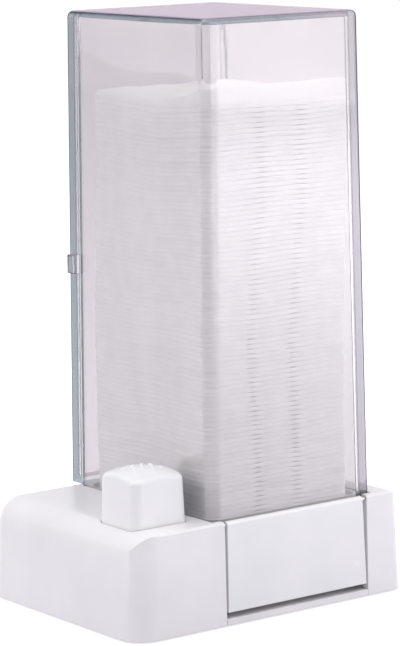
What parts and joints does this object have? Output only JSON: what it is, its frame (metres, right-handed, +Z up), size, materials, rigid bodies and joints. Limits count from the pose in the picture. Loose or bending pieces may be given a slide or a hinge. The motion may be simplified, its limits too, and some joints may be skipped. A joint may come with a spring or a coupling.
{
  "type": "cotton pad dispenser",
  "caption": "Press-button cotton pad dispenser: a white base with a slit and front flap, and a clear tower with a rear door over the stacked pads.",
  "frame": {"origin": "on the standing surface, under the middle of the base", "axes": "+Z up the tower, -Y out of the front slit, +X to the right seen from the front"},
  "size_m": [0.0972, 0.0744, 0.1721],
  "materials": {
    "white_abs": "gloss",
    "white_abs_flap": "gloss",
    "clear_san": "clear gloss",
    "pom_white": "satin",
    "pom_blue": "satin",
    "steel": "bright",
    "spring_steel": "bright",
    "rubber": "matt",
    "cotton": "soft"
  },
  "bodies": {
    "base": {"base_housing": "white_abs", "base_plate": "white_abs", "rubber_feet": "rubber", "base_screws": "steel", "stack_guide": "white_abs", "tower_cover": "clear_san", "door_hinge_pins": "steel", "flap_hinge_rod": "steel", "gear_axle": "steel", "gear_bracket": "pom_white", "bracket_screws": "steel", "pad_stack": "cotton", "top_pad": "cotton"},
    "button": {"push_button": "white_abs_flap", "button_spring": "spring_steel"},
    "gear": {"compound_gear": "pom_blue"},
    "sled": {"rack_arm": "pom_white", "guide_arm": "pom_white", "pusher_blade": "steel", "blade_rivets": "steel"},
    "pad": {"bottom_pad": "cotton"},
    "flap": {"front_flap": "white_abs_flap"},
    "door": {"rear_door": "clear_san"}
  },
  "joints": [
    {"name": "button_press", "type": "slide", "parent": "base", "child": "button", "axis": [0, 0, -1], "range_m": [0, 0.009], "stiffness_N_per_m": 350, "springref_m": -0.008, "deforming": ["button_spring"]},
    {"name": "gear_turn", "type": "hinge", "parent": "base", "child": "gear", "pos_m": [-0.0263, -0.0176, 0.0141], "axis": [-1, 0, 0], "range_deg": [0, 129]},
    {"name": "sled_slide", "type": "slide", "parent": "base", "child": "sled", "axis": [0, -1, 0], "range_m": [0, 0.0144]},
    {"name": "pad_feed", "type": "slide", "parent": "base", "child": "pad", "axis": [0, -1, 0], "range_m": [0, 0.0144]},
    {"name": "flap_hinge", "type": "hinge", "parent": "base", "child": "flap", "pos_m": [0, -0.03575, 0.0295], "axis": [-1, 0, 0], "range_deg": [0, 70]},
    {"name": "door_hinge", "type": "hinge", "parent": "base", "child": "door", "pos_m": [0.03785, 0.0311, 0.0306], "axis": [0.0098, 0.0098, -0.9999], "range_deg": [0, 90]}
  ],
  "couplings": [
    {"joint": "gear_turn", "follows": "button_press", "rad_per_m": 250},
    {"joint": "sled_slide", "follows": "button_press", "ratio": 1.6},
    {"joint": "pad_feed", "follows": "button_press", "ratio": 1.6}
  ]
}
